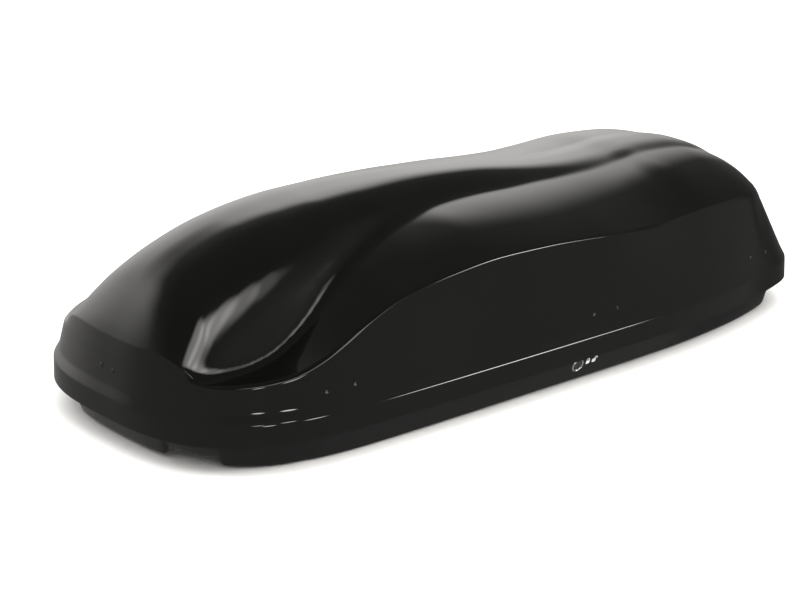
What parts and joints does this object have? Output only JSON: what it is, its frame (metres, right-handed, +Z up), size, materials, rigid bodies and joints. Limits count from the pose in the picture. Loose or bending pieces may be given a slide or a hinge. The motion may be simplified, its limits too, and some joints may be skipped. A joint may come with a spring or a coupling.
{
  "type": "roof box",
  "caption": "Closed car roof box with a glossy black moulded lid over a shallow tray, leaf hinges on one side and a key lock that slides a catch bar on the other.",
  "frame": {"origin": "middle of the tray's flat underside, where the box rests", "axes": "+X from nose to tail, +Y towards the hinge side, +Z up"},
  "size_m": [1.9, 0.867, 0.4675],
  "materials": {
    "lid_plastic": "glossy black vacuum-formed sheet, lightly dusty",
    "tray_plastic": "glossy black vacuum-formed sheet",
    "bare_steel": "zinc-plated sheet and bar",
    "coated_steel": "black powder coat",
    "blackened_rivets": "black coated rivets",
    "black_nylon": "moulded black nylon",
    "chrome": "polished chrome ring"
  },
  "bodies": {
    "base": {"bar_guide_front": "black_nylon", "bar_guide_middle": "black_nylon", "bar_guide_nose": "black_nylon", "bar_guide_rear": "black_nylon", "bar_guide_rivet_1": "blackened_rivets", "bar_guide_rivet_2": "blackened_rivets", "bar_guide_rivet_3": "blackened_rivets", "bar_guide_rivet_4": "blackened_rivets", "bar_guide_rivet_5": "blackened_rivets", "bar_guide_tail": "black_nylon", "floor_rail_hinge_side": "bare_steel", "floor_rail_opening_side": "bare_steel", "hinge_pin_front": "bare_steel", "hinge_pin_middle": "bare_steel", "hinge_pin_rear": "bare_steel", "hinge_tray_leaf_front": "coated_steel", "hinge_tray_leaf_middle": "coated_steel", "hinge_tray_leaf_rear": "coated_steel", "lock_bezel": "chrome", "lock_housing": "black_nylon", "strut_tray_bracket_front": "coated_steel", "strut_tray_bracket_rear": "coated_steel", "tray_shell": "tray_plastic"},
    "lid": {"lid_shell": "lid_plastic", "lid_catch_front": "bare_steel", "lid_catch_middle": "bare_steel", "lid_catch_rear": "bare_steel", "nose_locator": "bare_steel", "nose_locator_rivet_1": "blackened_rivets", "nose_locator_rivet_2": "blackened_rivets", "lid_catch_rivet_1": "blackened_rivets", "lid_catch_rivet_2": "blackened_rivets", "lid_catch_rivet_3": "blackened_rivets", "lid_catch_rivet_4": "blackened_rivets", "lid_catch_rivet_5": "blackened_rivets", "lid_catch_rivet_6": "blackened_rivets", "hinge_lid_leaf_front": "coated_steel", "hinge_lid_leaf_middle": "coated_steel", "hinge_lid_leaf_rear": "coated_steel", "strut_lid_bracket_front": "coated_steel", "strut_lid_bracket_rear": "coated_steel"},
    "lock_barrel": {"lock_barrel": "coated_steel", "lock_cam": "bare_steel"},
    "lock_bar": {"lock_bar": "bare_steel"},
    "strut_cylinder_front": {"strut_cylinder_front": "coated_steel"},
    "strut_rod_front": {"strut_rod_front": "bare_steel"},
    "strut_cylinder_rear": {"strut_cylinder_rear": "coated_steel"},
    "strut_rod_rear": {"strut_rod_rear": "bare_steel"}
  },
  "joints": [
    {"name": "lid_hinge", "type": "hinge", "parent": "base", "child": "lid", "pos_m": [-0.02, 0.435, 0.064], "axis": [-1, 0, 0], "range_deg": [0, 45]},
    {"name": "lock_turn", "type": "hinge", "parent": "base", "child": "lock_barrel", "pos_m": [0.094, -0.3985, 0.045], "axis": [-0.0004, 0.9512, 0.3085], "range_deg": [0, 90]},
    {"name": "lock_bar_slide", "type": "slide", "parent": "base", "child": "lock_bar", "axis": [1, 0, 0], "range_m": [0, 0.016]},
    {"name": "strut_swing_front", "type": "hinge", "parent": "base", "child": "strut_cylinder_front", "pos_m": [-0.5, 0.235, 0.064], "axis": [-1, 0, 0], "range_deg": [0, 22.5]},
    {"name": "strut_stroke_front", "type": "slide", "parent": "strut_cylinder_front", "child": "strut_rod_front", "axis": [0, 0.4384, 0.8988], "range_m": [0, 0.12423]},
    {"name": "strut_swing_rear", "type": "hinge", "parent": "base", "child": "strut_cylinder_rear", "pos_m": [0.62, 0.235, 0.064], "axis": [-1, 0, 0], "range_deg": [0, 22.5]},
    {"name": "strut_stroke_rear", "type": "slide", "parent": "strut_cylinder_rear", "child": "strut_rod_rear", "axis": [0, 0.4384, 0.8988], "range_m": [0, 0.12423]}
  ],
  "couplings": [
    {"joint": "lock_turn", "follows": "lock_bar_slide", "rad_per_m": 98.175},
    {"joint": "strut_swing_front", "follows": "lid_hinge", "ratio": 0.5},
    {"joint": "strut_stroke_front", "follows": "lid_hinge", "m_per_rad": 0.15818},
    {"joint": "strut_swing_rear", "follows": "lid_hinge", "ratio": 0.5},
    {"joint": "strut_stroke_rear", "follows": "lid_hinge", "m_per_rad": 0.15818}
  ]
}
